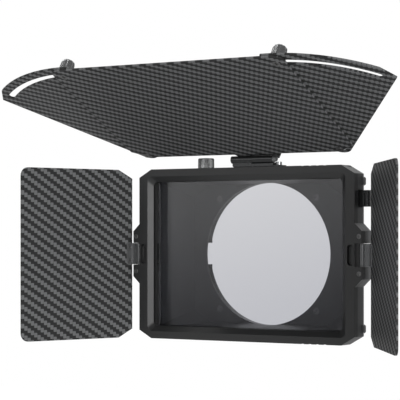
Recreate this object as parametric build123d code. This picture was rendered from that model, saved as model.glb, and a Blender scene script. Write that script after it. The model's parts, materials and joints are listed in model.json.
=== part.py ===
from build123d import *
from math import asin, cos, radians, sin
import os

# Clamp-on matte box lens hood with a top flag, two wings, two side flags and a filter tray.
# X runs to the right seen from the front, Y points to the lens, Z is up. Millimetres.
# The origin is on the lens axis, at the rear face of the lens clamp ring.
# Depths are measured back from the front face, so a depth D is at Y = FRONT_Y + D.

# Whole body
CLAMP_REAR_DEPTH = 39.3
FRONT_Y = -CLAMP_REAR_DEPTH
HALF_W = 81.1
HALF_H = 56.8
CORNER_X = 9.6
CORNER_Z = 5.5
RUN_GAP = 0.3

# Front frame and its bevelled opening
FRAME_DEPTH = 4.6
BEVEL_OUT = (74.6, 52.0)
BEVEL_IN = (71.3, 48.5)
BEVEL_DEPTH = 2.65
LIP_DEPTH = 3.1
BEVEL_R = 3.5

# Hinge tabs at the sides
TAB_X = 86.0
TAB_TIP_Z = 15.2
TAB_ROOT_Z = 20.0
CUTOUT_Z = 7.35
SLIT_Z = 14.4
SLIT_DEPTHS = (4.0, 5.2)
SLIT_X = 83.6
TAB_SCREW = (84.0, 11.7)

# Countersunk screws: shank radius, head radius, length, head height
TAB_SCREW_SIZE = (0.78, 1.68, 7.5, 0.9)
CLAMP_SCREW_SIZE = (1.15, 2.3, 5.6, 1.3)
SIDE_SCREW_SIZE = (0.55, 0.95, 3.8, 0.5)
LEAF_SCREW_SIZE = (0.78, 1.28, 1.9, 0.6)
LOCK_SCREW_SIZE = (1.15, 2.5, 8.8, 1.1)
SCREW_GAP = 0.04

# Bay behind the front frame, with the divider and the filter tray
BAY = (74.2, 52.0)
BOX_DEPTH = 13.0
TRAY_BAY_X = 73.4
TRAY_BAY_DEPTHS = (7.2, 12.5)
TRAY_X = 73.0
TRAY_DEPTHS = (7.5, 12.3)
TRAY_OPEN = (70.9, 48.4)
TRAY_LIP = 0.8
CLIP_Z = 7.0
GLASS = (143.5, 4.0, 101.6)
DIVIDER_DEPTHS = (4.9, 6.9)
DIVIDER_OPEN = (71.0, 48.6)

# Funnel, back plate and lens clamp
FUNNEL_IN = (71.0, 49.2)
PLATE_DEPTH = 33.4
PLATE_T = 1.5
PLATE_IN = (57.0, 46.5)
PLATE_CORNER = (12.6, 8.5)
WALL = 2.0
CLAMP_R = 47.5
RELIEF_START = 20.0
RELIEF_GROW = 0.8
RING_R = 50.6
RING_DEPTH = PLATE_DEPTH + PLATE_T
CLAMP_GAP_Z = 7.35
CLAMP_SCREWS = (36.9, 37.2)
CLAMP_LUG_H = 6.0
SIDE_SCREW_Z = 49.7
SIDE_SCREW_DEPTH = 7.6
ROD_X = -52.3
ROD_DEPTH = 39.2
ROD_R = 1.5
KNOB_R = 5.6
KNOB_Z = (58.0, 65.4)

# Side flags and their hinges
PIN_X = 84.4
PIN_DEPTH = 4.3
PIN_R = 0.8
FLAG_OFFSET = 5.0
FLAG_START = 2.0
FLAG_W = 88.0
FLAG_HALF_H = 56.8
FLAG_T = 1.2
FLAG_CORNER = (11.3, 5.8)
FLAG_ROUND = 5.5
LEFT_FORWARD = 69.7
RIGHT_FORWARD = 54.4
LEAF_Z = 7.2
LEAF_SCREW = (4.4, 4.15)
PLATE_LEAF_T = 0.8

# Release buttons beside the hinges, and the tray latch
BUTTON_X = 78.2
BUTTON_SIZE = (4.9, 13.1)
BUTTON_DEPTHS = (2.2, 5.0)
BUTTON_WELL = 7.0
BUTTON_GAP = 0.2
LATCH_Z = 35.6
LATCH_H = 10.4
LATCH_X = (77.4, 87.6)
LATCH_DEPTHS = (6.0, 10.6)

# Top flag, in its own frame: x across, reach forward from the rear edge, height off the underside
TILT = 27.08
FLAG_REAR_DEPTH = -0.21
FLAG_REAR_Z = 65.0
TOP_HALF_W = 83.0
TOP_REACH = 110.0
TOP_T = 1.2
AXIS_DROP = 2.75
AXIS_BACK = 2.09
PIN_HOLE_R = 1.05
TOP_PIN_R = 1.0
SADDLE_Y = (0.4, 5.4)
SADDLE_T = 0.8
TOP_SCREW_R = 0.8
TOP_SCREWS = ((11.0, 3.9), (19.0, 3.9))
BARREL_R = 2.45
BARREL_X = (-8.1, 7.1, 7.4, 22.6)
TAB_TOP = (-6.0, 29.0)
TAB_REACH = 6.0
BASE_SCREW = (25.6, 2.4)
BASE_SCREW_R = 0.95
BASE_SCREW_LOW = 52.5
BASE_SCREW_HEAD = (2.0, 0.85, 3.0)

# Wings, measured from their pivots
PIVOT = (72.5, 3.5)
PIVOT_R = 1.15
WING_R = 106.7
SLOT_R = 99.0
SLOT_W = 4.2
SLOT_ANGLES = (1.4, 37.8)
LOCK_ANGLE = 2.3
WING_EDGE = 7.2
WING_OPEN = 39.2
WING_TIP_ANGLE = 36.8
WING_INNER_ANGLE = -2.0
HEEL_R = 7.2
WING_T = 1.2
WASHER_T = 0.2
NUT_R = 4.6
NUT_H = 9.3


def at_depth(depth):
    return FRONT_Y + depth


def facing_front(depth):
    return Plane(origin=(0, at_depth(depth), 0), x_dir=(1, 0, 0), z_dir=(0, -1, 0))


def slab(outline, depth_a, depth_b):
    """A flat outline in X and Z, made solid between two depths."""
    return extrude(facing_front(depth_a) * outline, amount=-(depth_b - depth_a))


def block(x, depths, z):
    """A box between two X, two depths and two Z."""
    size = (x[1] - x[0], depths[1] - depths[0], z[1] - z[0])
    middle = ((x[0] + x[1]) / 2, at_depth((depths[0] + depths[1]) / 2), (z[0] + z[1]) / 2)
    return Pos(*middle) * Box(*size)


def rod_z(x, depth, radius, z):
    return Pos(x, at_depth(depth), (z[0] + z[1]) / 2) * Cylinder(radius, z[1] - z[0])


def rod_y(x, z, radius, depths):
    middle = at_depth((depths[0] + depths[1]) / 2)
    return Pos(x, middle, z) * Rot(90, 0, 0) * Cylinder(radius, depths[1] - depths[0])


def rod_x(depth, z, radius, x):
    middle = (x[0] + x[1]) / 2
    return Pos(middle, at_depth(depth), z) * Rot(0, 90, 0) * Cylinder(radius, x[1] - x[0])


def cut_corner_rect(half_w, half_h, corner_w, corner_h):
    """A rectangle with its four corners cut off straight."""
    w, h = half_w, half_h
    near_w, near_h = w - corner_w, h - corner_h
    points = [(w, -near_h), (w, near_h), (near_w, h), (-near_w, h)]
    points += [(-x, -z) for x, z in points]
    return make_face(Polyline(*points, close=True))


def both_sides(solid):
    return [solid, mirror(solid, Plane.YZ)]


def screw_body(size, gap=0.0):
    """A countersunk screw's envelope, head up, its flat top on the XY plane."""
    radius, head_r, length, head_t = size
    cone = Pos(0, 0, -head_t / 2) * Cone(radius + gap, head_r + gap, head_t)
    reach = length + 10 * gap
    return cone + Pos(0, 0, -reach / 2) * Cylinder(radius + gap, reach)


def countersunk(size):
    """The screw, with a cross recess in its head."""
    head_r, head_t = size[1], size[3]
    bar = Box(head_r * 1.1, head_r * 0.26, head_t)
    return screw_body(size) - bar - Rot(0, 0, 90) * bar


def countersink(size):
    """The hole that the screw sits in."""
    return screw_body(size, SCREW_GAP)


def coil(radius, wire_r, length, turns):
    path = Helix(pitch=length / turns, height=length, radius=radius)
    section = Plane(origin=path @ 0, z_dir=path % 0) * Circle(wire_r)
    return sweep(section, path=path, is_frenet=True)


# --- Body -------------------------------------------------------------------------------------

def body_outline():
    """The front outline: cut corners and a hinge tab at each side."""
    outline = cut_corner_rect(HALF_W, HALF_H, CORNER_X, CORNER_Z)
    inset = HALF_W - 5
    for side in (1, -1):
        half = [(inset, TAB_ROOT_Z), (HALF_W, TAB_ROOT_Z), (TAB_X, TAB_TIP_Z)]
        points = [(side * x, z) for x, z in half] + [(side * x, -z) for x, z in reversed(half)]
        outline += make_face(Polyline(*points, close=True))
    return outline


def hinge_space(side):
    """What the flag hinge takes out of a tab: the cut-out, the slit and the pin's bore."""
    x = sorted((side * HALF_W, side * (TAB_X + 1)))
    space = block(x, (-1, BOX_DEPTH + 1), (-CUTOUT_Z, CUTOUT_Z))
    x = sorted((side * SLIT_X, side * (TAB_X + 1)))
    space += block(x, SLIT_DEPTHS, (-SLIT_Z, SLIT_Z))
    return space + rod_z(side * PIN_X, PIN_DEPTH, PIN_R + 0.02, (-10.1, 10.1))


def grip_grooves(depths):
    """Four shallow grooves across the top and the bottom edge."""
    groove_r, sink, first, pitch = 1.7, 0.45, 44.1, 5.3
    grooves = []
    for i in range(4):
        for edge in (1, -1):
            centre_z = edge * (HALF_H + groove_r - sink)
            grooves.append(rod_y(first + i * pitch, centre_z, groove_r, depths))
    return grooves


def tab_screw_places():
    x, z = TAB_SCREW
    return [(sx * x, sz * z) for sx in (1, -1) for sz in (1, -1)]


def screw_in_front(screw, x, z, depth=0.0):
    """Turns a screw made head up, so that its head faces the front at a depth."""
    return Pos(x, at_depth(depth), z) * Rot(90, 0, 0) * screw


def make_front_frame():
    frame = slab(body_outline(), 0, FRAME_DEPTH)
    wide, narrow = (RectangleRounded(2 * w, 2 * h, BEVEL_R) for w, h in (BEVEL_OUT, BEVEL_IN))
    frame -= loft([facing_front(0) * wide, facing_front(BEVEL_DEPTH) * narrow])
    frame -= slab(narrow, BEVEL_DEPTH - 0.01, LIP_DEPTH)
    frame -= slab(RectangleRounded(2 * BAY[0], 2 * BAY[1], 3), LIP_DEPTH, FRAME_DEPTH)
    for side in (1, -1):
        frame -= hinge_space(side)
        frame -= slab(Pos(side * BUTTON_X, 0) * button_outline(0), -1, FRAME_DEPTH + 1)
    for groove in grip_grooves((-1, FRAME_DEPTH + 1)):
        frame -= groove
    for x, z in tab_screw_places():
        frame -= screw_in_front(countersink(TAB_SCREW_SIZE), x, z)
    return frame - rod_z(*BASE_SCREW, BASE_SCREW_R + 0.05, (BASE_SCREW_LOW - 0.2, HALF_H + 1))


def make_divider():
    outline = RectangleRounded(2 * BAY[0] - 0.2, 2 * BAY[1] - 0.2, 2.9)
    return slab(outline - RectangleRounded(2 * DIVIDER_OPEN[0], 2 * DIVIDER_OPEN[1], 2), *DIVIDER_DEPTHS)


def funnel_outline(grow, back):
    """The funnel's section: wide at the tray bay, and eight sided at the plate."""
    if back:
        return cut_corner_rect(PLATE_IN[0] + grow, PLATE_IN[1] + grow, *PLATE_CORNER)
    return cut_corner_rect(FUNNEL_IN[0] + grow, FUNNEL_IN[1] + grow, 1.0, 1.0)


def make_housing():
    box = slab(body_outline(), FRAME_DEPTH, BOX_DEPTH)
    end = PLATE_DEPTH + PLATE_T
    cone = loft([facing_front(BOX_DEPTH - 0.5) * funnel_outline(WALL, False),
                 facing_front(PLATE_DEPTH) * funnel_outline(WALL, True)], ruled=True)
    housing = box + cone + slab(funnel_outline(WALL, True), PLATE_DEPTH, end)
    housing -= loft([facing_front(TRAY_BAY_DEPTHS[1] - 0.2) * funnel_outline(0, False),
                     facing_front(PLATE_DEPTH) * funnel_outline(0, True)], ruled=True)
    housing -= rod_y(0, 0, CLAMP_R, (PLATE_DEPTH - 0.01, end + 1))
    housing -= lens_relief()
    housing -= slab(RectangleRounded(2 * BAY[0], 2 * BAY[1], 3), FRAME_DEPTH - 1, TRAY_BAY_DEPTHS[0])
    housing -= block((-TRAY_BAY_X, TRAY_BAY_X), TRAY_BAY_DEPTHS, (-BAY[1], HALF_H + 5))
    housing += corner_lugs()
    for side in (1, -1):
        housing -= hinge_space(side)
        housing -= slab(Pos(side * BUTTON_X, 0) * button_outline(0), FRAME_DEPTH - 1, BUTTON_WELL)
    for groove in grip_grooves((FRAME_DEPTH - 1, BOX_DEPTH + 1)):
        housing -= groove
    for x, z in tab_screw_places():
        housing -= screw_in_front(countersink(TAB_SCREW_SIZE), x, z)
    for x, z in clamp_screw_places():
        housing -= screw_in_front(countersink(CLAMP_SCREW_SIZE), x, z, PLATE_DEPTH)
    for place in side_screw_places():
        housing -= place * countersink(SIDE_SCREW_SIZE)
    return housing - latch_window()


def lens_relief():
    """A taper ahead of the plate, so that only the plate and the ring grip the lens."""
    wide, narrow = Circle(CLAMP_R + RELIEF_GROW), Circle(CLAMP_R)
    return loft([facing_front(RELIEF_START) * wide, facing_front(PLATE_DEPTH) * narrow], ruled=True)


def corner_lugs():
    """Raised finger lugs near the rear corners."""
    lugs = []
    x_lug, lug_z, lug_h = (HALF_W - 1, HALF_W + 1.5), 46.6, 5.4
    for edge in (1, -1):
        lug = block(x_lug, (9.6, BOX_DEPTH), (edge * lug_z - lug_h / 2, edge * lug_z + lug_h / 2))
        lug = chamfer(lug.edges().filter_by(Axis.Y).group_by(Axis.X)[-1], 0.8)
        lugs += both_sides(lug)
    return lugs


def side_screw_places():
    """Where the side screws sit, each with its head facing out."""
    y = at_depth(SIDE_SCREW_DEPTH)
    return [Pos(side * HALF_W, y, edge * SIDE_SCREW_Z) * Rot(0, side * 90, 0)
            for side in (1, -1) for edge in (1, -1)]


def clamp_screw_places():
    x, z = CLAMP_SCREWS
    return [(sx * x, sz * z) for sx in (1, -1) for sz in (1, -1)]


def make_front_screws(places, size, depth):
    screw = countersunk(size)
    return Compound(children=[screw_in_front(screw, x, z, depth) for x, z in places])


def make_side_screws():
    screw = countersunk(SIDE_SCREW_SIZE)
    return Compound(children=[place * screw for place in side_screw_places()])


# --- Lens clamp -------------------------------------------------------------------------------

def make_clamp_ring():
    """An open ring behind the plate, with screw ears and a lug each side of its gap."""
    disc = Circle(RING_R)
    for x, z in clamp_screw_places():
        disc += Pos(x, z) * Circle(3.6)
    ring = slab(disc, RING_DEPTH, CLAMP_REAR_DEPTH)
    lug_x = (ROD_X - 3.6, ROD_X + 3.9)
    lug_end = CLAMP_GAP_Z + CLAMP_LUG_H
    through = (RING_DEPTH - 1, ROD_DEPTH + 5)
    for edge in (1, -1):
        z = sorted((edge * CLAMP_GAP_Z, edge * lug_end))
        lug = block(lug_x, (RING_DEPTH, ROD_DEPTH + 3.4), z)
        ring += fillet(lug.edges().filter_by(Axis.Z).group_by(Axis.X)[0], 1.5)
    ring -= rod_y(0, 0, CLAMP_R, through)
    ring -= block((-70, -40), through, (-CLAMP_GAP_Z, CLAMP_GAP_Z))
    ring -= rod_z(ROD_X, ROD_DEPTH, ROD_R + 0.1, (-lug_end - 1, lug_end + 1))
    for x, z in clamp_screw_places():
        ring -= rod_y(x, z, CLAMP_SCREW_SIZE[0] + SCREW_GAP, through)
    return ring


def make_clamp_guide():
    """The post on the plate that guides the clamp rod up to its knob."""
    guide = block((ROD_X - 4.2, ROD_X + 6), (RING_DEPTH, ROD_DEPTH + 3.6), (39.0, KNOB_Z[0] - 0.4))
    guide = fillet(guide.edges().filter_by(Axis.Z).group_by(Axis.Y)[-1], 2)
    guide -= slab(Circle(RING_R + 4.5), RING_DEPTH - 1, ROD_DEPTH + 5)
    return guide - rod_z(ROD_X, ROD_DEPTH, ROD_R + 0.1, (30, 60))


def make_clamp_knob():
    low, high = KNOB_Z
    skirt = 4.4
    knob = rod_z(ROD_X, ROD_DEPTH, KNOB_R, (low, low + skirt))
    top = high - low - skirt
    knob += Pos(ROD_X, at_depth(ROD_DEPTH), low + skirt + top / 2) * Cone(KNOB_R - 0.4, KNOB_R - 0.9, top)
    slot = Pos(ROD_X, at_depth(ROD_DEPTH), high) * Box(2 * KNOB_R, 1.2, 2.0)
    return knob - slot - rod_z(ROD_X, ROD_DEPTH, ROD_R, (low - 1, low + 4))


def make_clamp_rod():
    return rod_z(ROD_X, ROD_DEPTH, ROD_R, (-17.5, KNOB_Z[0] + 4))


def make_clamp_nut():
    """The hexagon nut under the lower lug."""
    nut_h = 2.6
    low = -(CLAMP_GAP_Z + CLAMP_LUG_H) - nut_h
    nut = Pos(ROD_X, at_depth(ROD_DEPTH), low) * extrude(RegularPolygon(3.2, 6), amount=nut_h)
    return nut - rod_z(ROD_X, ROD_DEPTH, ROD_R + 0.05, (low - 1, 0))


# --- Filter tray ------------------------------------------------------------------------------

def make_tray():
    """The frame that holds the filter, with a cap that closes the slot in the top."""
    low = -BAY[1] + 0.1
    tray = block((-TRAY_X, TRAY_X), TRAY_DEPTHS, (low, HALF_H))
    tray -= slab(RectangleRounded(2 * TRAY_OPEN[0], 2 * TRAY_OPEN[1], 2), 0, BOX_DEPTH)
    half_w, half_h = GLASS[0] / 2 + 0.1, GLASS[2] / 2 + 0.08
    tray -= block((-half_w, half_w), (TRAY_DEPTHS[0] + TRAY_LIP, BOX_DEPTH), (-half_h, half_h))
    clip_depths = (TRAY_DEPTHS[0] - 1, TRAY_DEPTHS[0] + TRAY_LIP)
    tray -= block((-TRAY_X, TRAY_X), clip_depths, (-CLIP_Z - 0.1, CLIP_Z + 0.1))
    tray &= slab(cut_corner_rect(HALF_W, HALF_H, CORNER_X, CORNER_Z), 0, BOX_DEPTH)
    finger_r, finger_len = 1.2, 40
    notch_depth = (TRAY_DEPTHS[0] + TRAY_DEPTHS[1]) / 2
    return tray - rod_x(notch_depth, HALF_H + 0.4, finger_r, (-finger_len / 2, finger_len / 2))


def make_glass():
    width, thick, height = GLASS
    front = TRAY_DEPTHS[0] + TRAY_LIP
    return block((-width / 2, width / 2), (front, front + thick - 0.01), (-height / 2, height / 2))


def make_glass_clips():
    """Short clips that hold the filter at its left and right edges."""
    depths = (TRAY_DEPTHS[0], TRAY_DEPTHS[0] + TRAY_LIP - 0.02)
    clip = block((TRAY_OPEN[0] - 0.8, TRAY_X - 0.1), depths, (-CLIP_Z, CLIP_Z))
    return Compound(children=both_sides(clip))


# --- Latch and release buttons ----------------------------------------------------------------

def latch_window():
    """The latch's pocket, with a wider slit in front of it."""
    half, slit_half = LATCH_H / 2 + RUN_GAP, 6.3
    start, front = LATCH_X[0] - 2.6, LATCH_DEPTHS[0] - 0.8
    window = block((start, HALF_W + 3), (front, LATCH_DEPTHS[1] + 0.4), (LATCH_Z - half, LATCH_Z + half))
    slit_x, slit_depths = (LATCH_X[0] + 2, HALF_W + 3), (front, LATCH_DEPTHS[0] - 0.1)
    return window + block(slit_x, slit_depths, (LATCH_Z - slit_half, LATCH_Z + slit_half))


def make_latch():
    """A push tab with a finger groove, and a bore for its spring."""
    half = LATCH_H / 2
    latch = block(LATCH_X, LATCH_DEPTHS, (LATCH_Z - half, LATCH_Z + half))
    tip = latch.edges().filter_by(Axis.Z).group_by(Axis.X)[-1]
    latch = fillet(tip, 1.2)
    groove_x = (LATCH_X[1] - 3.0, LATCH_X[1] - 1.2)
    groove_depths = (LATCH_DEPTHS[0] - 1, LATCH_DEPTHS[0] + 1.2)
    latch -= block(groove_x, groove_depths, (LATCH_Z - half, LATCH_Z + half))
    depth = sum(LATCH_DEPTHS) / 2
    return latch - rod_x(depth, LATCH_Z, 1.9, (LATCH_X[0] - 1, LATCH_X[0] + 4))


def make_latch_spring():
    start, end = LATCH_X[0] - 2.4, LATCH_X[0] + 3.8
    spring = Rot(0, 90, 0) * coil(1.35, 0.2, end - start - 0.4, 6)
    return Pos(start + 0.2, at_depth(sum(LATCH_DEPTHS) / 2), LATCH_Z) * spring


def button_outline(gap):
    width, height = BUTTON_SIZE
    return RectangleRounded(width - 2 * gap, height - 2 * gap, 2.2 - gap)


def make_button(side):
    """A release button with a shallow dish in its face and a bore for its spring."""
    place = Pos(side * BUTTON_X, 0)
    front, back = BUTTON_DEPTHS
    button = slab(place * button_outline(BUTTON_GAP), front, back)
    button -= slab(place * RectangleRounded(2.6, 10.2, 1.2), front - 1, front + 0.3)
    return button - rod_y(side * BUTTON_X, 0, 1.7, (front + 1.2, back + 1))


def make_button_spring(side):
    start, end = BUTTON_DEPTHS[0] + 1.5, BUTTON_WELL - 0.3
    spring = Rot(90, 0, 0) * coil(1.2, 0.18, end - start, 4)
    return Pos(side * BUTTON_X, at_depth(end), 0) * spring


# --- Side flags -------------------------------------------------------------------------------

def flag_place(side, forward):
    """The flag's frame: along the flag from the pin, up, and out from the lens axis."""
    angle = radians(forward)
    along = (side * cos(angle), -sin(angle), 0)
    pin = (side * PIN_X, at_depth(PIN_DEPTH), 0)
    return Plane(origin=pin, x_dir=along, z_dir=(side * sin(angle), cos(angle), 0))


def flag_outline():
    """Straight cut corners at the hinge edge, round ones at the free edge."""
    start, end = FLAG_START, FLAG_START + FLAG_W
    cut_w, cut_h = FLAG_CORNER
    top = FLAG_HALF_H
    points = [(end, -top), (end, top), (start + cut_w, top), (start, top - cut_h),
              (start, -top + cut_h), (start + cut_w, -top)]
    face = make_face(Polyline(*points, close=True))
    return fillet(face.vertices().group_by(Axis.X)[-1], FLAG_ROUND)


def leaf_place(side, forward):
    """The leaf's frame: along the flag, then out from the pin, then up (down on the left)."""
    angle = radians(forward)
    pin = (side * PIN_X, at_depth(PIN_DEPTH), 0)
    return Plane(origin=pin, x_dir=(side * cos(angle), -sin(angle), 0), z_dir=(0, 0, side))


def leaf_screw_spots():
    """Where the leaf's screws sit in its frame, each with its head on the plate's inner face."""
    along, up = LEAF_SCREW
    return [Pos(along, FLAG_OFFSET - PLATE_LEAF_T, z) * Rot(90, 0, 0) for z in (up, -up)]


def make_flag(side, forward):
    place = flag_place(side, forward)
    panel = Pos(0, 0, FLAG_OFFSET) * extrude(flag_outline(), amount=FLAG_T)
    along, up = LEAF_SCREW
    for z in (up, -up):
        panel -= Pos(along, z, FLAG_OFFSET) * Cylinder(LEAF_SCREW_SIZE[0] + SCREW_GAP, 4)
    return place * panel


def make_leaf(side, forward):
    """A barrel on the pin, an arm out to the flag and a plate on the flag's inner face."""
    barrel = Circle(2.2)
    web = Pos(-0.8, 0.7) * Rectangle(2.4, 1.4)
    arm = Pos(-0.1, 3.2) * Rectangle(4.2, 3.6)
    plate = Pos(LEAF_SCREW[0], FLAG_OFFSET - PLATE_LEAF_T / 2) * Rectangle(4.8, PLATE_LEAF_T)
    profile = (barrel + web + arm + plate) - Circle(PIN_R + 0.05)
    leaf = extrude(profile, amount=LEAF_Z, both=True)
    leaf -= Pos(1.6, 1.0, 0) * Box(2.4, 0.7, 2 * LEAF_Z)
    for spot in leaf_screw_spots():
        leaf -= spot * countersink(LEAF_SCREW_SIZE)
    return leaf_place(side, forward) * leaf


def make_leaf_screws(side, forward):
    screw, place = countersunk(LEAF_SCREW_SIZE), leaf_place(side, forward)
    return Compound(children=[place * (spot * screw) for spot in leaf_screw_spots()])


def make_hinge_pin(side):
    return rod_z(side * PIN_X, PIN_DEPTH, PIN_R, (-10.0, 10.0))


# --- Top flag ---------------------------------------------------------------------------------

def top_place():
    """The top flag's frame: X across, -Y forward along the panel, Z up from its underside."""
    angle = radians(TILT)
    return Plane(origin=(0, at_depth(FLAG_REAR_DEPTH), FLAG_REAR_Z), x_dir=(1, 0, 0),
                 z_dir=(0, sin(angle), cos(angle)))


def pivot_at(side):
    return (side * PIVOT[0], -PIVOT[1])


def lock_at(side):
    angle = radians(LOCK_ANGLE)
    return (side * (PIVOT[0] + SLOT_R * sin(angle)), -(PIVOT[1] + SLOT_R * cos(angle)))


def make_top_flag():
    w, reach = TOP_HALF_W, TOP_REACH
    tab_a, tab_b = TAB_TOP
    points = [(-w, -7.5), (-w, -reach), (w, -reach), (w, -7.5), (w - 11.5, 0), (tab_b, 0),
              (tab_b - 4.5, TAB_REACH), (tab_a + 4.5, TAB_REACH), (tab_a, 0), (-w + 11.5, 0)]
    face = make_face(Polyline(*points, close=True))
    face = fillet(face.vertices().group_by(Axis.Y)[0], 6)
    panel = extrude(face, amount=TOP_T)
    for side in (1, -1):
        panel -= Pos(*pivot_at(side), 0) * Cylinder(PIVOT_R, 6)
        x, y = lock_at(side)
        panel -= Pos(x, y, 0) * Rot(180, 0, 0) * countersink(LOCK_SCREW_SIZE)
    for x, y in TOP_SCREWS:
        panel -= Pos(x, y, 0) * Cylinder(TOP_SCREW_R + SCREW_GAP, 4)
    return top_place() * panel


def make_top_leaf():
    """The moving knuckle, with a saddle screwed to the panel's underside."""
    x0, x1 = BARREL_X[2:]
    middle, length = (x0 + x1) / 2, x1 - x0
    axis = Pos(middle, AXIS_BACK, -AXIS_DROP) * Rot(0, 90, 0)
    leaf = axis * Cylinder(BARREL_R, length)
    leaf += Pos(middle, AXIS_BACK, -AXIS_DROP / 2) * Box(length - 1, 2.2, AXIS_DROP)
    saddle = Box(length - 1, SADDLE_Y[1] - SADDLE_Y[0], SADDLE_T)
    leaf += Pos(middle, sum(SADDLE_Y) / 2, -SADDLE_T / 2) * saddle
    leaf -= axis * Cylinder(PIN_HOLE_R, length + 2)
    for x, y in TOP_SCREWS:
        leaf -= Pos(x, y, 0) * Cylinder(TOP_SCREW_R + SCREW_GAP, 2.4)
    return top_place() * leaf


def make_top_screws():
    """Low screws through the panel into the saddle."""
    head_r, head_t = 1.5, 0.8
    shank = TOP_T + SADDLE_T
    screw = Pos(0, 0, TOP_T + head_t / 2) * Cylinder(head_r, head_t)
    screw += Pos(0, 0, TOP_T - shank / 2) * Cylinder(TOP_SCREW_R, shank)
    screw -= Pos(0, 0, TOP_T + head_t) * Box(1.6 * head_r, 0.4, 0.6)
    return Compound(children=[top_place() * (Pos(x, y, 0) * screw) for x, y in TOP_SCREWS])


def axis_point():
    """Depth and height of the top hinge's axis."""
    point = top_place().from_local_coords((0, AXIS_BACK, -AXIS_DROP))
    return point.Y - FRONT_Y, point.Z


def make_top_hinge_base():
    """The block on the frame's top edge with the fixed knuckle."""
    depth, z = axis_point()
    x0, x1, x2, x3 = BARREL_X
    base = block((x0 + 1, x3 + 6.4), (0.2, 6.2), (HALF_H, HALF_H + 0.8))
    base += block((x0 + 1, x3 + 0.6), (-1.0, 3.6), (HALF_H + 0.1, z - BARREL_R - RUN_GAP))
    base += block((x0 + 1, x1 - 0.4), (-0.9, 1.6), (HALF_H + 0.1, z - 1))
    base += block((x0 + 1, x3 + 0.6), (depth + 2.0, 3.6), (HALF_H + 0.1, z - BARREL_R + RUN_GAP))
    base += rod_x(depth, z, BARREL_R, (x0, x1))
    base -= block((x0, x3 + 1), (-2, 0), (HALF_H - 1, HALF_H + 0.4))
    base -= rod_x(depth, z, PIN_HOLE_R, (x0 + 2, x1 + 1))
    return base - rod_z(*BASE_SCREW, BASE_SCREW_R + 0.05, (HALF_H - 1, HALF_H + 2))


def make_top_hinge_pin():
    """The hinge pin and its cone head."""
    depth, z = axis_point()
    start, head_t, socket_depth = BARREL_X[3] + RUN_GAP, 2.4, 1.0
    turned = Rot(0, 90, 0)
    pin = rod_x(depth, z, TOP_PIN_R, (BARREL_X[0] + 2.2, start + 0.2))
    head = Pos(start + head_t / 2, at_depth(depth), z) * turned * Cone(2.3, 1.4, head_t)
    socket = extrude(RegularPolygon(0.8, 6), amount=-socket_depth)
    return pin + head - Pos(start + head_t, at_depth(depth), z) * turned * socket


def make_base_screw():
    """The knurled screw that holds the hinge block on the frame."""
    head_r, low, high = BASE_SCREW_HEAD
    head = rod_z(*BASE_SCREW, head_r, (HALF_H + low, HALF_H + high))
    head = chamfer(head.edges().filter_by(GeomType.CIRCLE), 0.2)
    return head + rod_z(*BASE_SCREW, BASE_SCREW_R, (BASE_SCREW_LOW, HALF_H + 1))


def wing_edge_point(radius):
    """A point on the wing's outer straight edge, at a distance from the pivot."""
    angle = radians(WING_OPEN) + asin(WING_EDGE / radius)
    return (radius * sin(angle), -radius * cos(angle))


def polar(radius, angle):
    return (radius * sin(radians(angle)), -radius * cos(radians(angle)))


def wing_outline():
    """A right wing round its pivot: an arc in front, a slot behind it and a round heel."""
    tip_r = WING_R - 4
    inner = polar(WING_R, WING_INNER_ANGLE)
    middle = polar(WING_R, (WING_INNER_ANGLE + WING_TIP_ANGLE) / 2)
    tip_a, tip_b = polar(WING_R, WING_TIP_ANGLE), wing_edge_point(tip_r)
    open_angle = radians(WING_OPEN)
    heel_out = (WING_EDGE * cos(open_angle), WING_EDGE * sin(open_angle))
    side_angle = radians(WING_INNER_ANGLE)
    heel_in = (-HEEL_R * cos(side_angle), HEEL_R * sin(side_angle) - 4)
    arc = ThreePointArc(inner, middle, tip_a)
    rest = Polyline(tip_a, tip_b, heel_out, (0, 0), heel_in, inner)
    face = make_face(Wire([arc] + list(rest.edges())))
    return face + Circle(HEEL_R)


def slot_outline():
    centre = [polar(SLOT_R, a) for a in (SLOT_ANGLES[0], sum(SLOT_ANGLES) / 2, SLOT_ANGLES[1])]
    return SlotArc(ThreePointArc(*centre), SLOT_W)


def make_wing(side):
    lift = TOP_T + WASHER_T
    face = wing_outline() - slot_outline() - Circle(PIVOT_R)
    wing = Pos(PIVOT[0], -PIVOT[1], lift) * extrude(face, amount=WING_T)
    if side < 0:
        wing = mirror(wing, Plane.YZ)
    return top_place() * wing


def make_wing_washer(side):
    ring = Pos(*pivot_at(side), TOP_T) * extrude(Circle(4) - Circle(1.2), amount=WASHER_T - 0.02)
    return top_place() * ring


def make_pivot_screws():
    """Low screws through the panel and the wing, with a cap above."""
    stack = TOP_T + WASHER_T + WING_T
    head_r, cap_r, head_t, slot_w = 2.4, 2.6, 1.0, 0.5
    screw = Pos(0, 0, -head_t / 2) * Cylinder(head_r, head_t)
    screw += Pos(0, 0, stack / 2) * Cylinder(PIVOT_R - 0.1, stack + 0.2)
    screw -= Pos(0, 0, -head_t) * (Box(head_r, slot_w, head_t) + Box(slot_w, head_r, head_t))
    screw += Pos(0, 0, stack + 0.1 + head_t / 2) * Cylinder(cap_r, head_t)
    return Compound(children=[top_place() * (Pos(*pivot_at(s), 0) * screw) for s in (1, -1)])


def make_lock_screws():
    """Countersunk screws from below, up through the slots into the knurled nuts."""
    screw = Rot(180, 0, 0) * countersunk(LOCK_SCREW_SIZE)
    return Compound(children=[top_place() * (Pos(*lock_at(s), 0) * screw) for s in (1, -1)])


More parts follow.
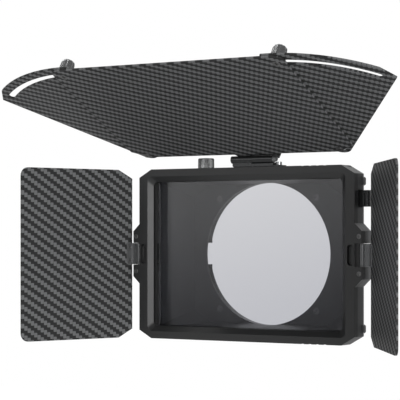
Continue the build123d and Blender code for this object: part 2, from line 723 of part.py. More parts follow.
def make_wing_nut(side):
    """A tall knurled nut on a flat collar."""
    low = TOP_T + WASHER_T + WING_T + 0.1
    collar_t, taper, top_round, thread_h = 1.2, 0.6, 1.1, 6.9
    grip_h = NUT_H - collar_t
    grip = Pos(0, 0, low + collar_t + grip_h / 2) * Cone(NUT_R, NUT_R - taper, grip_h)
    grip = fillet(grip.edges().group_by(Axis.Z)[-1], top_round)
    nut = grip + Pos(0, 0, low + collar_t / 2) * Cylinder(NUT_R + 0.3, collar_t)
    nut -= Pos(0, 0, low + thread_h / 2 - 0.01) * Cylinder(LOCK_SCREW_SIZE[0] + 0.05, thread_h)
    return top_place() * (Pos(*lock_at(side), 0) * nut)


def make_parts():
    parts = {
        "front_frame": make_front_frame(),
        "slot_divider": make_divider(),
        "housing": make_housing(),
        "tab_screws": make_front_screws(tab_screw_places(), TAB_SCREW_SIZE, 0),
        "clamp_screws": make_front_screws(clamp_screw_places(), CLAMP_SCREW_SIZE, PLATE_DEPTH),
        "side_screws": make_side_screws(),
        "lens_clamp_ring": make_clamp_ring(),
        "clamp_guide": make_clamp_guide(),
        "clamp_nut": make_clamp_nut(),
        "clamp_knob": make_clamp_knob(),
        "clamp_rod": make_clamp_rod(),
        "filter_tray": make_tray(),
        "filter_glass": make_glass(),
        "glass_clips": make_glass_clips(),
        "tray_latch": make_latch(),
        "latch_spring": make_latch_spring(),
        "top_flag": make_top_flag(),
        "top_hinge_leaf": make_top_leaf(),
        "top_leaf_screws": make_top_screws(),
        "top_hinge_base": make_top_hinge_base(),
        "top_hinge_pin": make_top_hinge_pin(),
        "base_screw": make_base_screw(),
        "wing_pivot_screws": make_pivot_screws(),
        "wing_lock_screws": make_lock_screws(),
    }
    for name, side, forward in (("left", -1, LEFT_FORWARD), ("right", 1, RIGHT_FORWARD)):
        parts[f"{name}_flag"] = make_flag(side, forward)
        parts[f"{name}_hinge_leaf"] = make_leaf(side, forward)
        parts[f"{name}_leaf_screws"] = make_leaf_screws(side, forward)
        parts[f"{name}_hinge_pin"] = make_hinge_pin(side)
        parts[f"{name}_button"] = make_button(side)
        parts[f"{name}_button_spring"] = make_button_spring(side)
        parts[f"{name}_wing"] = make_wing(side)
        parts[f"{name}_wing_washer"] = make_wing_washer(side)
        parts[f"{name}_wing_nut"] = make_wing_nut(side)
    return parts


os.makedirs("parts", exist_ok=True)
for name, shape in make_parts().items():
    shape.label = name
    export_step(shape, f"parts/{name}.step")
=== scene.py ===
import json
import math

import bpy
from mathutils import Matrix, Vector


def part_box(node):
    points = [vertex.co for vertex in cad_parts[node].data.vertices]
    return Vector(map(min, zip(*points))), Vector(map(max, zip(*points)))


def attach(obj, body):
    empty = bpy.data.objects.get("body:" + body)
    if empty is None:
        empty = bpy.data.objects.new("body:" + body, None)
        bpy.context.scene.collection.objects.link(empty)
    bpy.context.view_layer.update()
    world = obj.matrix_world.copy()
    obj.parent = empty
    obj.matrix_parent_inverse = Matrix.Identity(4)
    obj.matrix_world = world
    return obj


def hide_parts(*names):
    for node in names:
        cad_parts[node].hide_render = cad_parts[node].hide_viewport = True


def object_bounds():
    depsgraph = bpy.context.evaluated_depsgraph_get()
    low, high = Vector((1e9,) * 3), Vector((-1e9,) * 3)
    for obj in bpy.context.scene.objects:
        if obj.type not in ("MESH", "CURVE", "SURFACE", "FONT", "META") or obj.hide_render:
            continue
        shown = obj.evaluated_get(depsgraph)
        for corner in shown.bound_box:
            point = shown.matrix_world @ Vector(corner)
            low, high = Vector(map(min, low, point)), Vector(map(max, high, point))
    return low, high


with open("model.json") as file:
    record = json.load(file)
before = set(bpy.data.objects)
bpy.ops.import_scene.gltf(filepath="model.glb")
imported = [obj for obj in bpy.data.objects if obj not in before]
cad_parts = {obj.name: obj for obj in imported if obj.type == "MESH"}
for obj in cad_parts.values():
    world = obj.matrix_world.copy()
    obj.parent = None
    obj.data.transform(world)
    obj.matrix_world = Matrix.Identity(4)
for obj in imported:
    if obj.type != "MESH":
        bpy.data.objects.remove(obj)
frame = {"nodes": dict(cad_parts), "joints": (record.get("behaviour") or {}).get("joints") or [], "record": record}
cad_low, cad_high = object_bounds()

MM = 0.001
record = frame["record"]
nodes = frame["nodes"]
joints = {j["name"]: j for j in frame["joints"]}


# --- Reading the frame -------------------------------------------------------------------------

def body_of_node(node):
    for body, members in record["behaviour"]["bodies"].items():
        if node in members:
            return body
    raise ValueError(node)


def slot_of_node(node):
    return next(s["material_slot"] for s in record["subparts"] if s["node"] == node)


def middle_of(node):
    low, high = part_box(node)
    return (low + high) / 2


def panel_axes(node):
    """Along, up and normal directions of a flat panel, from its largest faces."""
    normal = Vector((0, 0, 0))
    faces = nodes[node].data.polygons
    lead = max(faces, key=lambda f: f.area).normal
    for face in faces:
        if abs(face.normal.dot(lead)) > 0.99:
            normal += face.normal * math.copysign(face.area, face.normal.dot(lead))
    normal.normalize()
    upright = Vector((0, 0, 1)) if abs(normal.z) < 0.5 else Vector((0, -1, 0))
    up = (upright - normal * upright.dot(normal)).normalized()
    along = up.cross(normal)
    if along.x < 0:
        along, normal = -along, -normal
    return along, up, normal


def solids_of(node, reach):
    """The points of each of a node's separate solids, which stand further apart than reach."""
    groups = []
    for vertex in nodes[node].data.vertices:
        near = [g for g in groups if (g[0] - vertex.co).length < reach]
        if near:
            near[0].append(vertex.co.copy())
        else:
            groups.append([vertex.co.copy()])
    return groups


def end_of(points, facing, skin=0.02 * MM):
    """The middle of the flat end that a set of points has in one direction."""
    top = max(p.dot(facing) for p in points)
    rim = [p for p in points if p.dot(facing) > top - skin]
    return sum(rim, Vector()) / len(rim)


# --- Node building -----------------------------------------------------------------------------

class Tree:
    """Shorthand for adding and linking nodes."""

    def __init__(self, tree):
        self.tree = tree

    def add(self, kind, inputs=None, **settings):
        node = self.tree.nodes.new(kind)
        for key, value in settings.items():
            setattr(node, key, value)
        for key, value in (inputs or {}).items():
            self.put(node.inputs[key], value)
        return node

    def put(self, socket, value):
        if isinstance(value, bpy.types.NodeSocket):
            self.tree.links.new(value, socket)
        else:
            socket.default_value = value

    def math(self, operation, *values):
        node = self.tree.nodes.new("ShaderNodeMath")
        node.operation = operation
        for socket, value in zip(node.inputs, values):
            self.put(socket, value)
        return node.outputs[0]

    def mix(self, factor, a, b):
        node = self.tree.nodes.new("ShaderNodeMix")
        node.data_type = "RGBA"
        self.put(node.inputs[0], factor)
        self.put(node.inputs[6], a)
        self.put(node.inputs[7], b)
        return node.outputs[2]

    def blend_value(self, factor, a, b):
        node = self.tree.nodes.new("ShaderNodeMix")
        self.put(node.inputs[0], factor)
        self.put(node.inputs[2], a)
        self.put(node.inputs[3], b)
        return node.outputs[0]

    def ramp(self, value, low, high):
        node = self.add("ShaderNodeMapRange", {"Value": value, "From Min": low, "From Max": high})
        return node.outputs["Result"]

    def noise(self, vector, scale, detail=2.0, roughness=0.5):
        given = {"Vector": vector, "Scale": scale, "Detail": detail, "Roughness": roughness}
        return self.add("ShaderNodeTexNoise", given).outputs["Fac"]


def new_group(name, inputs, outputs):
    group = bpy.data.node_groups.new(name, "ShaderNodeTree")
    for label, kind, value in inputs:
        socket = group.interface.new_socket(label, in_out="INPUT", socket_type=kind)
        if value is not None:
            socket.default_value = value
    for label, kind in outputs:
        group.interface.new_socket(label, in_out="OUTPUT", socket_type=kind)
    tree = Tree(group)
    start = tree.add("NodeGroupInput")
    end = tree.add("NodeGroupOutput")
    return group, tree, start.outputs, end.inputs


FLOAT, VECTOR = "NodeSocketFloat", "NodeSocketVector"

# The weave repeats every four tows, and the warp is on top at steps 0 and 1
TWILL_REPEAT, TWILL_OVER = 4.0, 1.5
TOW_FULLNESS, GAP_WIDTH = 0.45, 0.42
# The fibres are fine across a tow and long along it, and shift from one tow to the next
FIBRES_ACROSS, FIBRES_ALONG, FIBRE_SHIFT = 9.0, 0.6, 0.37


def make_twill_group():
    """Two by two twill: each tow passes over two and under two, one step along in each row."""
    group, t, given, out = new_group(
        "carbon_twill",
        [("Vector", VECTOR, None), ("Tow Across", FLOAT, 1.0), ("Tow Up", FLOAT, 1.0)],
        [("Warp", FLOAT), ("Crown", FLOAT), ("Gap", FLOAT), ("Fibre", FLOAT)])
    split = t.add("ShaderNodeSeparateXYZ", {"Vector": given["Vector"]})
    across = t.math("DIVIDE", split.outputs[0], given["Tow Across"])
    upward = t.math("DIVIDE", split.outputs[1], given["Tow Up"])
    column, row = t.math("FLOOR", across), t.math("FLOOR", upward)
    in_column, in_row = t.math("FRACT", across), t.math("FRACT", upward)
    step = t.math("FLOORED_MODULO", t.math("ADD", column, row), TWILL_REPEAT)
    warp = t.math("LESS_THAN", step, TWILL_OVER)
    along_warp = t.math("MULTIPLY", t.math("ADD", step, in_row), 0.5)
    along_weft = t.math("MULTIPLY", t.math("ADD", t.math("SUBTRACT", step, 2.0), in_column), 0.5)
    along = t.blend_value(warp, along_weft, along_warp)
    side = t.blend_value(warp, in_row, in_column)
    bow = t.math("SINE", t.math("MULTIPLY", along, math.pi))
    round_over = t.math("SINE", t.math("MULTIPLY", side, math.pi))
    arch = t.math("MAXIMUM", t.math("MULTIPLY", bow, round_over), 0.0001)
    crown = t.math("POWER", arch, TOW_FULLNESS)
    stretched = t.add("ShaderNodeCombineXYZ", {
        0: t.math("MULTIPLY", across, t.blend_value(warp, FIBRES_ALONG, FIBRES_ACROSS)),
        1: t.math("MULTIPLY", upward, t.blend_value(warp, FIBRES_ACROSS, FIBRES_ALONG)),
        2: t.math("MULTIPLY", t.math("ADD", column, row), FIBRE_SHIFT)})
    fibre = t.noise(stretched.outputs[0], 1.0, 1.0)
    t.put(out["Warp"], warp)
    t.put(out["Crown"], crown)
    t.put(out["Gap"], t.ramp(crown, 0.0, GAP_WIDTH))
    t.put(out["Fibre"], fibre)
    return group


# How far an edge has to turn to count as rubbed, then two noise scales, in features a metre
RUB_START, RUB_FULL = 0.01, 0.16
RUB_PATCHES, HANDLING_MARKS = 420.0, 55.0


def make_wear_group():
    """Where edges are rubbed, and broad handling marks, as two masks."""
    group, t, given, out = new_group(
        "edge_wear",
        [("Vector", VECTOR, None), ("Radius", FLOAT, 0.0003), ("Amount", FLOAT, 0.5)],
        [("Edge", FLOAT), ("Marks", FLOAT), ("Normal", VECTOR)])
    soft = t.add("ShaderNodeBevel", {"Radius": given["Radius"]}, samples=4)
    sharp = t.add("ShaderNodeNewGeometry")
    dot = t.add("ShaderNodeVectorMath", {0: soft.outputs[0], 1: sharp.outputs["Normal"]},
                operation="DOT_PRODUCT")
    turned = t.ramp(t.math("SUBTRACT", 1.0, dot.outputs["Value"]), RUB_START, RUB_FULL)
    patchy = t.ramp(t.noise(given["Vector"], RUB_PATCHES, 3.0), 0.35, 0.7)
    edge = t.math("MULTIPLY", t.math("MULTIPLY", turned, patchy), given["Amount"])
    t.put(out["Edge"], edge)
    t.put(out["Marks"], t.noise(given["Vector"], HANDLING_MARKS, 4.0, 0.62))
    t.put(out["Normal"], soft.outputs[0])
    return group


# The broad grain's scale as a share of the pits', and the pits' share of the height
GRAIN_WIDE, PIT_SHARE = 0.35, 0.6


def make_grain_group():
    """The fine pitted grain of a moulded or blasted surface, as a height and a mask."""
    group, t, given, out = new_group(
        "fine_grain",
        [("Vector", VECTOR, None), ("Scale", FLOAT, 3000.0)],
        [("Height", FLOAT), ("Specks", FLOAT)])
    pits = t.add("ShaderNodeTexVoronoi", {"Vector": given["Vector"], "Scale": given["Scale"]})
    wide = t.noise(given["Vector"], t.math("MULTIPLY", given["Scale"], GRAIN_WIDE), 3.0)
    pitted = t.math("MULTIPLY", pits.outputs["Distance"], PIT_SHARE)
    t.put(out["Height"], t.math("ADD", pitted, wide))
    t.put(out["Specks"], t.ramp(wide, 0.55, 0.75))
    return group


twill_group = make_twill_group()
wear_group = make_wear_group()
grain_group = make_grain_group()


def new_material(name):
    material = bpy.data.materials.new(name)
    material.use_nodes = True
    material.node_tree.nodes.clear()
    t = Tree(material.node_tree)
    shader = t.add("ShaderNodeBsdfPrincipled")
    output = t.add("ShaderNodeOutputMaterial")
    t.tree.links.new(shader.outputs[0], output.inputs[0])
    place = t.add("ShaderNodeTexCoord").outputs["Object"]
    return material, t, shader, place


def place_group(t, group, **values):
    node = t.add("ShaderNodeGroup", node_tree=group)
    for label, value in values.items():
        t.put(node.inputs[label.replace("_", " ")], value)
    return node.outputs


def grey(value, tint=0.0):
    return (value * (1 - tint), value, value * (1 + tint), 1.0)


def moulded_plastic(name, tone, rough, grain=0.05, wear=0.35):
    """Black moulded plastic: fine grain, rubbed edges, a little uneven gloss."""
    material, t, shader, place = new_material(name)
    worn = place_group(t, wear_group, Vector=place, Radius=0.00035, Amount=wear)
    fine = place_group(t, grain_group, Vector=place, Scale=2600.0)
    base = t.mix(worn["Marks"], grey(tone * 0.86, 0.02), grey(tone * 1.14, 0.02))
    base = t.mix(t.math("MULTIPLY", fine["Specks"], 0.25), base, grey(tone * 1.5))
    t.put(shader.inputs["Base Color"], t.mix(worn["Edge"], base, grey(tone * 2.6)))
    gloss = t.blend_value(worn["Marks"], rough - 0.06, rough + 0.07)
    t.put(shader.inputs["Roughness"], t.math("SUBTRACT", gloss, t.math("MULTIPLY", worn["Edge"], 0.12)))
    bump = t.add("ShaderNodeBump", {"Strength": grain * 4, "Distance": 0.00004,
                                    "Height": fine["Height"], "Normal": worn["Normal"]})
    t.put(shader.inputs["Normal"], bump.outputs[0])
    return material


def anodised_metal(name, tone, rough, tint=0.02, wear=0.5, grain=0.05):
    """Blasted and anodised aluminium: satin, with bright metal showing on rubbed edges."""
    material, t, shader, place = new_material(name)
    shader.inputs["Metallic"].default_value = 0.85
    worn = place_group(t, wear_group, Vector=place, Radius=0.00022, Amount=wear)
    fine = place_group(t, grain_group, Vector=place, Scale=4200.0)
    base = t.mix(worn["Marks"], grey(tone * 0.85, tint), grey(tone * 1.15, tint))
    t.put(shader.inputs["Base Color"], t.mix(worn["Edge"], base, grey(min(tone * 3 + 0.15, 0.7))))
    t.put(shader.inputs["Roughness"], t.blend_value(worn["Marks"], rough - 0.07, rough + 0.08))
    bump = t.add("ShaderNodeBump", {"Strength": grain * 4, "Distance": 0.00003,
                                    "Height": fine["Height"], "Normal": worn["Normal"]})
    t.put(shader.inputs["Normal"], bump.outputs[0])
    return material


def turned_steel(name, tone, rough):
    """Screws, pins and springs: fine turning lines and darker hollows."""
    material, t, shader, place = new_material(name)
    shader.inputs["Metallic"].default_value = 0.9
    worn = place_group(t, wear_group, Vector=place, Radius=0.00012, Amount=0.6)
    lines = t.add("ShaderNodeTexNoise", {"Vector": place, "Scale": 5200.0, "Detail": 2.0})
    base = t.mix(worn["Marks"], grey(tone * 0.8), grey(tone * 1.2))
    t.put(shader.inputs["Base Color"], t.mix(worn["Edge"], base, grey(min(tone * 3, 0.8))))
    t.put(shader.inputs["Roughness"], t.blend_value(lines.outputs["Fac"], rough - 0.08, rough + 0.1))
    t.put(shader.inputs["Normal"], worn["Normal"])
    return material


TOW_ACROSS, TOW_UP = 2.5 * MM, 1.55 * MM
TOW_LIGHT, TOW_DARK = 0.172, 0.018
PANELS = ("left_flag", "right_flag", "top_flag", "left_wing", "right_wing")


def carbon_panel(node, light, dark, rough=0.5):
    """Carbon sheet, its weave laid in the panel's own plane."""
    along, up, normal = panel_axes(node)
    material, t, shader, place = new_material(f"carbon_{node}")
    shader.inputs["Specular IOR Level"].default_value = 0.22
    turn = Matrix((along, up, normal)).to_euler("XYZ")
    laid = t.add("ShaderNodeMapping", {"Vector": place, "Rotation": tuple(turn)})
    weave = place_group(t, twill_group, Vector=laid.outputs[0], Tow_Across=TOW_ACROSS, Tow_Up=TOW_UP)
    worn = place_group(t, wear_group, Vector=place, Radius=0.0003, Amount=0.25)
    tow = t.mix(weave["Warp"], grey(dark, 0.02), grey(light, 0.02))
    tow = t.mix(t.math("MULTIPLY", weave["Fibre"], 0.3), tow, grey(dark * 1.2))
    tow = t.mix(weave["Gap"], grey(dark * 0.6), tow)
    tow = t.mix(t.math("MULTIPLY", worn["Marks"], 0.08), tow, grey(light * 0.9))
    t.put(shader.inputs["Base Color"], t.mix(worn["Edge"], tow, grey(light * 1.2)))
    t.put(shader.inputs["Roughness"], t.blend_value(weave["Warp"], rough + 0.1, rough - 0.04))
    bump = t.add("ShaderNodeBump", {"Strength": 0.3, "Distance": 0.00012,
                                    "Height": weave["Crown"], "Normal": worn["Normal"]})
    t.put(shader.inputs["Normal"], bump.outputs[0])
    return material


# The tint fades to paler upwards along a line that leans by the slant below; the paler top is painted reflection
# haze
GLASS_LOW, GLASS_HIGH_PAINTED_HAZE = (0.53, 0.535, 0.572, 1), (0.60, 0.602, 0.63, 1)
PAINTED_HAZE_SLANT, PAINTED_HAZE_REACH = 0.35, 0.9
DUST_SCALE, DUST_ROUGHNESS = 180.0, 0.03


def glass_with_painted_haze(name, node):
    """Glass with a faint blue cast lower down, paler at the top: the paler top is painted reflection haze."""
    low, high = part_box(node)
    material, t, shader, place = new_material(name)
    shader.inputs["Transmission Weight"].default_value = 1.0
    shader.inputs["IOR"].default_value = 1.45
    split = t.add("ShaderNodeSeparateXYZ", {"Vector": place})
    # Painted reflection haze: the tint turns paler towards the top
    slant = t.math("MULTIPLY", split.outputs[0], PAINTED_HAZE_SLANT)
    fall = t.ramp(t.math("SUBTRACT", split.outputs[2], slant), low.z * PAINTED_HAZE_REACH, high.z * PAINTED_HAZE_REACH)
    t.put(shader.inputs["Base Color"], t.mix(fall, GLASS_LOW, GLASS_HIGH_PAINTED_HAZE))
    dust = t.ramp(t.noise(place, DUST_SCALE, 3.0), 0.62, 0.8)
    t.put(shader.inputs["Roughness"], t.math("MULTIPLY", dust, DUST_ROUGHNESS))
    return material


FINISHES = {
    "frame_plastic": moulded_plastic("satin_black_plastic", 0.021, 0.4, 0.03),
    # The housing is the same black plastic in a lighter tone: painted light on its funnel inside, seen through the
    # glass, and on its sides
    "housing_plastic_painted_light": moulded_plastic("housing_black_plastic_painted_light", 0.09, 0.48, 0.03, 0.5),
    "inner_plastic": moulded_plastic("matt_black_plastic", 0.010, 0.62, 0.03, 0.1),
    "grey_metal": anodised_metal("grey_anodised_metal", 0.18, 0.42),
    "black_metal": anodised_metal("black_anodised_metal", 0.05, 0.26),
    "knurled_metal": anodised_metal("gunmetal_knurl", 0.36, 0.26, 0.01, 0.1, 0.01),
    "screw_steel": turned_steel("black_screw_steel", 0.17, 0.34),
    "spring_steel": turned_steel("bright_spring_steel", 0.5, 0.28),
    "nylon": moulded_plastic("natural_nylon", 0.55, 0.5, 0.04, 0.05),
    "filter_glass": glass_with_painted_haze("blue_glass_with_painted_haze", "filter_glass"),
}

for node, obj in nodes.items():
    if node in PANELS:
        finish = carbon_panel(node, TOW_LIGHT, TOW_DARK)
    else:
        # The housing gets the lighter plastic with painted light
        finish = FINISHES["housing_plastic_painted_light" if node == "housing" else slot_of_node(node)]
    obj.data.materials.clear()
    obj.data.materials.append(finish)


# --- Geometry Nodes ----------------------------------------------------------------------------

class Shape(Tree):
    """A geometry tree with named inputs, ending in real, finished geometry."""

    def __init__(self, name, inputs):
        tree = bpy.data.node_groups.new(name, "GeometryNodeTree")
        super().__init__(tree)
        tree.interface.new_socket("Geometry", in_out="INPUT", socket_type="NodeSocketGeometry")
        self.sockets = {}
        for label, kind, value in inputs:
            socket = tree.interface.new_socket(label, in_out="INPUT", socket_type=kind)
            if value is not None:
                socket.default_value = value
            self.sockets[label] = socket.identifier
        tree.interface.new_socket("Geometry", in_out="OUTPUT", socket_type="NodeSocketGeometry")
        self.given = self.add("NodeGroupInput").outputs
        self.end = self.add("NodeGroupOutput").inputs

    def move(self, shape, place=(0, 0, 0), turn=(0, 0, 0)):
        node = self.add("GeometryNodeTransform", {
            "Geometry": shape, "Translation": place, "Rotation": turn})
        return node.outputs[0]

    def vector(self, x=0.0, y=0.0, z=0.0):
        return self.add("ShaderNodeCombineXYZ", {0: x, 1: y, 2: z}).outputs[0]

    def drum(self, radius_low, radius_high, height, low, sides=48):
        """A round drum or taper standing on the plane at low."""
        cone = self.add("GeometryNodeMeshCone", {
            "Vertices": sides, "Radius Top": radius_high, "Radius Bottom": radius_low, "Depth": height})
        return self.move(cone.outputs["Mesh"], self.vector(z=low))

    def join(self, *shapes):
        node = self.add("GeometryNodeJoinGeometry")
        for shape in shapes:
            self.tree.links.new(shape, node.inputs[0])
        return node.outputs[0]

    def cut(self, body, *tools):
        node = self.add("GeometryNodeMeshBoolean", operation="DIFFERENCE", solver="EXACT")
        self.tree.links.new(body, node.inputs[0])
        for tool in tools:
            self.tree.links.new(tool, node.inputs[1])
        return node.outputs[0]

    def block(self, size, place):
        cube = self.add("GeometryNodeMeshCube", {"Size": size})
        return self.move(cube.outputs["Mesh"], place)

    def finish(self, shape):
        real = self.add("GeometryNodeRealizeInstances", {"Geometry": shape}).outputs[0]
        flat = self.add("GeometryNodeSetShadeSmooth", {"Geometry": real, "Shade Smooth": False}).outputs[0]
        dressed = self.add("GeometryNodeSetMaterial", {"Geometry": flat, "Material": self.given["Finish"]})
        self.put(self.end[0], dressed.outputs[0])
        return self


METRES, WHOLE, STUFF = "NodeSocketFloat", "NodeSocketInt", "NodeSocketMaterial"


KNOB_RINGS, KNOB_CAP_RINGS = 26, 6
# How much of a flute's depth is gone at the top of the crown
CROWN_FADE = 0.75
SCREW_SEED = 7


def knob_tree():
    """A turned knob: one closed surface with a collar, a fluted grip and a rounded crown."""
    s = Shape("fluted_knob", [
        ("Collar Radius", METRES, 0.0049), ("Collar Height", METRES, 0.0012),
        ("Low Radius", METRES, 0.0046), ("High Radius", METRES, 0.004),
        ("Height", METRES, 0.0092), ("Crown", METRES, 0.002), ("Flutes", WHOLE, 10),
        ("Flute Depth", METRES, 0.0005), ("Sides", WHOLE, 100),
        ("Slot Width", METRES, 0.0), ("Slot Depth", METRES, 0.0), ("Finish", STUFF, None)])
    g = s.given
    blank = s.add("GeometryNodeMeshCylinder", {
        "Vertices": g["Sides"], "Side Segments": KNOB_RINGS, "Fill Segments": KNOB_CAP_RINGS,
        "Radius": 1.0, "Depth": 1.0})
    at = s.add("ShaderNodeSeparateXYZ", {0: s.add("GeometryNodeInputPosition").outputs[0]})
    x, y = at.outputs[0], at.outputs[1]
    part_out = s.math("SQRT", s.math("ADD", s.math("MULTIPLY", x, x), s.math("MULTIPLY", y, y)))
    around = s.math("ARCTAN2", y, x)
    share = s.math("ADD", at.outputs[2], 0.5)
    height = s.math("MULTIPLY", share, g["Height"])
    crown_start = s.math("SUBTRACT", g["Height"], g["Crown"])
    over = s.math("DIVIDE", s.math("SUBTRACT", height, crown_start), g["Crown"])
    over = s.math("MINIMUM", s.math("MAXIMUM", over, 0.0), 1.0)
    level = s.math("SQRT", s.math("SUBTRACT", 1.0, s.math("MULTIPLY", over, over)))
    fall = s.math("SUBTRACT", 1.0, level)
    in_collar = s.math("LESS_THAN", height, g["Collar Height"])
    ripple = s.math("COSINE", s.math("MULTIPLY", around, g["Flutes"]))
    wave = s.math("MULTIPLY", s.math("ADD", 1.0, ripple), 0.5)
    flute = s.math("MULTIPLY", s.math("MULTIPLY", wave, g["Flute Depth"]),
                   s.math("SUBTRACT", 1.0, s.math("MULTIPLY", over, CROWN_FADE)))
    grip = s.blend_value(share, g["Low Radius"], g["High Radius"])
    grip = s.math("SUBTRACT", s.math("SUBTRACT", grip, flute), s.math("MULTIPLY", fall, g["Crown"]))
    radius = s.blend_value(in_collar, grip, g["Collar Radius"])
    radius = s.math("MULTIPLY", radius, part_out)
    turned = s.vector(s.math("MULTIPLY", s.math("COSINE", around), radius),
                      s.math("MULTIPLY", s.math("SINE", around), radius), height)
    body = s.add("GeometryNodeSetPosition", {
        "Geometry": blank.outputs["Mesh"], "Position": turned}).outputs[0]
    slot = s.block(s.vector(s.math("MULTIPLY", g["Low Radius"], 3.0), g["Slot Width"],
                            s.math("MULTIPLY", g["Slot Depth"], 2.0)), s.vector(z=g["Height"]))
    slotted = s.cut(body, slot)
    pick = s.add("GeometryNodeSwitch", {
        "Switch": s.math("GREATER_THAN", g["Slot Depth"], 0.0), "False": body, "True": slotted},
        input_type="GEOMETRY")
    return s.finish(pick.outputs[0])


def screw_tree():
    """Countersunk screws with a chamfered rim and a cross recess, one on each given point."""
    s = Shape("cross_screws", [
        ("Head Radius", METRES, 0.0017), ("Head Height", METRES, 0.0009),
        ("Shank Radius", METRES, 0.0008), ("Length", METRES, 0.006), ("Rim", METRES, 0.0002),
        ("Recess", METRES, 0.0007), ("Finish", STUFF, None)])
    g = s.given
    depth = s.math("MULTIPLY", g["Head Height"], -1.0)
    inner = s.math("SUBTRACT", g["Head Radius"], g["Rim"])
    head_h = s.math("SUBTRACT", g["Head Height"], g["Rim"])
    head = s.drum(g["Shank Radius"], g["Head Radius"], head_h, depth, 32)
    rim = s.drum(g["Head Radius"], inner, g["Rim"], s.math("MULTIPLY", g["Rim"], -1.0), 32)
    arm = s.block(s.vector(s.math("MULTIPLY", inner, 1.5), s.math("MULTIPLY", inner, 0.42),
                           s.math("MULTIPLY", g["Recess"], 2.0)), (0, 0, 0))
    second = s.move(arm, turn=(0, 0, math.pi / 2))
    cap = s.cut(rim, arm, second)
    cup = s.cut(head, arm, second)
    shank_h = s.math("SUBTRACT", g["Length"], g["Head Height"])
    tip = s.math("MULTIPLY", g["Length"], -1.0)
    shank = s.drum(g["Shank Radius"], g["Shank Radius"], shank_h, tip, 20)
    one = s.join(cap, cup, shank)
    facing = s.add("GeometryNodeInputNamedAttribute", {"Name": "facing"}, data_type="FLOAT_VECTOR")
    twist = s.add("FunctionNodeRandomValue", {
        "Min": 0.0, "Max": math.pi, "Seed": SCREW_SEED}, data_type="FLOAT")
    spun = s.add("FunctionNodeAxisAngleToRotation", {"Axis": (0, 0, 1), "Angle": twist.outputs[1]})
    aimed = s.add("FunctionNodeAlignRotationToVector", {
        "Rotation": (0, 0, 0), "Vector": facing.outputs["Attribute"]}, axis="Z")
    turn = s.add("FunctionNodeRotateRotation", {
        "Rotation": aimed.outputs[0], "Rotate By": spun.outputs[0]}, rotation_space="LOCAL")
    copies = s.add("GeometryNodeInstanceOnPoints", {
        "Points": g["Geometry"], "Instance": one, "Rotation": turn.outputs[0]})
    return s.finish(copies.outputs[0])


def run_tree(name, shape, mesh, values):
    """Evaluates a tree on a mesh and keeps the result as a plain mesh."""
    source = bpy.data.objects.new(name + "_source", mesh)
    bpy.context.scene.collection.objects.link(source)
    modifier = source.modifiers.new("build", "NODES")
    modifier.node_group = shape.tree
    for label, value in values.items():
        modifier[shape.sockets[label]] = value
    graph = bpy.context.evaluated_depsgraph_get()
    graph.update()
    made = bpy.data.meshes.new_from_object(source.evaluated_get(graph), depsgraph=graph)
    source.modifiers.clear()
    bpy.data.objects.remove(source)
    piece = bpy.data.objects.new(name, made)
    bpy.context.scene.collection.objects.link(piece)
    return piece


def settle(piece, body, replaced):
    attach(piece, body)
    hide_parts(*replaced)


knob = knob_tree()
screws = screw_tree()


def make_knob(name, node, axis, values):
    """A fluted knob where its node stands, seated at the low end of the node along its axis."""
    points = [v.co for v in nodes[node].data.vertices]
    heights = [p.dot(axis) for p in points]
    seat = end_of(points, -axis, 0.05 * MM)
    values["Height"] = max(heights) - min(heights)
    empty = bpy.data.meshes.new(name + "_seed")
    values["Finish"] = FINISHES["knurled_metal"]
    piece = run_tree(name, knob, empty, values)
    turn = Vector((0, 0, 1)).rotation_difference(axis).to_matrix().to_4x4()
    piece.data.transform(Matrix.Translation(seat) @ turn)
    settle(piece, body_of_node(node), [node])


def make_screws(name, node, facings, reach, values):
    """Screws on the head of each of a node's solids, facing the way that solid does."""
    places, ways = [], []
    for points in solids_of(node, reach):
        middle = sum(points, Vector()) / len(points)
        facing = facings(middle)
        places.append(end_of(points, facing))
        ways.append(facing)
    mesh = bpy.data.meshes.new(name + "_places")
    mesh.from_pydata(places, [], [])
    mesh.attributes.new("facing", "FLOAT_VECTOR", "POINT")
    mesh.attributes["facing"].data.foreach_set("vector", [x for way in ways for x in way])
    values["Finish"] = FINISHES["screw_steel"]
    piece = run_tree(name, screws, mesh, values)
    settle(piece, body_of_node(node), [node])


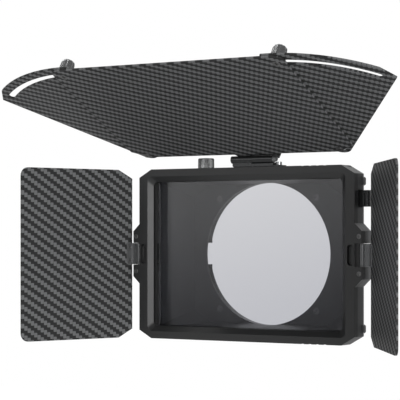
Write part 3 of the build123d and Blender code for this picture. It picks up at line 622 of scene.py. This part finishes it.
def build_small_parts():
    lifted = Vector(joints["right_wing_nut_turn"]["axis"]).normalized()
    upward, front = Vector((0, 0, 1)), Vector((0, -1, 0))
    for side in ("left", "right"):
        make_knob(f"{side}_wing_knob", f"{side}_wing_nut", lifted, {
            "Collar Radius": 4.9 * MM, "Collar Height": 1.2 * MM, "Low Radius": 4.9 * MM,
            "High Radius": 4.3 * MM, "Crown": 2.2 * MM, "Flutes": 11, "Flute Depth": 0.42 * MM,
            "Sides": 132})
    make_knob("clamp_knob_head", "clamp_knob", upward, {
        "Collar Radius": 5.4 * MM, "Collar Height": 0.3 * MM, "Low Radius": 5.6 * MM,
        "High Radius": 5.5 * MM, "Crown": 0.9 * MM, "Flutes": 42, "Flute Depth": 0.22 * MM,
        "Sides": 252, "Slot Width": 1.3 * MM, "Slot Depth": 1.3 * MM})
    make_screws("tab_screw_set", "tab_screws", lambda p: front, 9 * MM, {
        "Head Radius": 1.66 * MM, "Head Height": 0.9 * MM, "Shank Radius": 0.77 * MM, "Length": 7.4 * MM})
    make_screws("plate_screw_set", "clamp_screws", lambda p: front, 9 * MM, {
        "Head Radius": 2.28 * MM, "Head Height": 1.3 * MM, "Shank Radius": 1.1 * MM, "Length": 5.5 * MM,
        "Rim": 0.25 * MM})
    for side in ("left", "right"):
        normal = panel_axes(f"{side}_flag")[2]
        inward = normal if normal.x * middle_of(f"{side}_flag").x < 0 else -normal
        make_screws(f"{side}_leaf_screw_set", f"{side}_leaf_screws", lambda p: inward, 4 * MM, {
            "Head Radius": 1.26 * MM, "Head Height": 0.6 * MM, "Shank Radius": 0.77 * MM,
            "Length": 1.85 * MM, "Rim": 0.15 * MM, "Recess": 0.45 * MM})
    make_screws("side_screw_set", "side_screws", lambda p: Vector((math.copysign(1, p.x), 0, 0)), 6 * MM, {
        "Head Radius": 0.94 * MM, "Head Height": 0.5 * MM, "Shank Radius": 0.54 * MM, "Length": 3.7 * MM,
        "Rim": 0.1 * MM, "Recess": 0.35 * MM})


build_small_parts()


# --- Camera, floor and light --------------------------------------------------------------------

CAMERA_PLACE = (0.54651, -0.96521, 0.01213)
CAMERA_YAW = 32.03
CAMERA_LENS = 148.72
CAMERA_RISE = 0.0895


def make_camera():
    data = bpy.data.cameras.new("studio_camera")
    data.lens, data.sensor_width, data.shift_y = CAMERA_LENS, 36.0, CAMERA_RISE
    data.clip_start, data.clip_end = 0.01, 50.0
    camera = bpy.data.objects.new("studio_camera", data)
    camera.location = CAMERA_PLACE
    camera.rotation_euler = (math.radians(90), 0, math.radians(CAMERA_YAW))
    bpy.context.scene.collection.objects.link(camera)
    bpy.context.scene.camera = camera


SKY_SEEN, SKY_LIGHT = 1.0, 0.12
# Each soft box: where it stands, the cosines where it starts and is full, and its strength
SOFT_BOXES = [((0.76, -0.65, 0.0), 0.88, 0.985, 4.9), ((-0.5, -0.8, 0.22), 0.955, 0.995, 1.9),
              ((-0.35, 0.85, 0.45), 0.6, 0.95, 0.85)]
FLOOR_SEEN, FLOOR_LIGHT = 0.8, 0.18
FLOOR_DROP, FLOOR_HALF = 0.3, 2.2
# Each lamp: its name, where it stands, what it points at, its width and its power
LAMPS = [("key_light", (1.2, -0.8, 0.15), (0, -0.05, 0), 0.5, 5),
         ("rim_light", (-0.5, -0.2, 0.9), (0, -0.05, 0.09), 0.25, 2.5)]


def seen_directly(t):
    """One for what the camera sees, straight or through glass, and zero for light that only falls."""
    path = t.add("ShaderNodeLightPath").outputs
    straight = t.math("MAXIMUM", path["Is Camera Ray"], path["Is Transmission Ray"])
    return t.math("MULTIPLY", straight, t.math("LESS_THAN", path["Diffuse Depth"], 0.5))


def make_floor():
    level, half = cad_low.z - FLOOR_DROP, FLOOR_HALF
    mesh = bpy.data.meshes.new("studio_floor")
    corners = [(-half, -half, level), (half, -half, level), (half, half, level), (-half, half, level)]
    mesh.from_pydata(corners, [], [(0, 1, 2, 3)])
    floor = bpy.data.objects.new("studio_floor", mesh)
    bpy.context.scene.collection.objects.link(floor)
    material, t, shader, place = new_material("pale_floor")
    t.put(shader.inputs["Base Color"], t.mix(t.noise(place, 3.0), grey(0.78), grey(0.8)))
    shader.inputs["Roughness"].default_value = 0.95
    shader.inputs["Emission Color"].default_value = (1, 1, 1, 1)
    glow = t.blend_value(seen_directly(t), FLOOR_LIGHT, FLOOR_SEEN)
    t.put(shader.inputs["Emission Strength"], glow)
    mesh.materials.append(material)


def area_light(name, place, target, size, power):
    data = bpy.data.lights.new(name, "AREA")
    data.shape, data.size, data.energy = "SQUARE", size, power
    light = bpy.data.objects.new(name, data)
    light.location = place
    aim = Vector(target) - Vector(place)
    light.rotation_euler = aim.to_track_quat("-Z", "Y").to_euler()
    bpy.context.scene.collection.objects.link(light)


def make_light():
    world = bpy.data.worlds.new("studio_world")
    world.use_nodes = True
    t = Tree(world.node_tree)
    background = world.node_tree.nodes["Background"]
    background.inputs["Color"].default_value = (1, 1, 1, 1)
    facing = t.add("ShaderNodeTexCoord").outputs["Generated"]
    light = SKY_LIGHT
    for toward, wide, narrow, strength in SOFT_BOXES:
        aim = t.add("ShaderNodeVectorMath", {0: facing, 1: Vector(toward).normalized()},
                    operation="DOT_PRODUCT")
        glow = t.add("ShaderNodeMapRange", {
            "Value": aim.outputs["Value"], "From Min": wide, "From Max": narrow, "To Max": strength},
            interpolation_type="SMOOTHSTEP")
        light = t.math("ADD", light, glow.outputs["Result"])
    t.put(background.inputs["Strength"], t.blend_value(seen_directly(t), light, SKY_SEEN))
    bpy.context.scene.world = world
    for name, place, target, size, power in LAMPS:
        area_light(name, place, target, size, power)


make_camera()
make_floor()
make_light()
bpy.context.scene.view_settings.view_transform = "Standard"
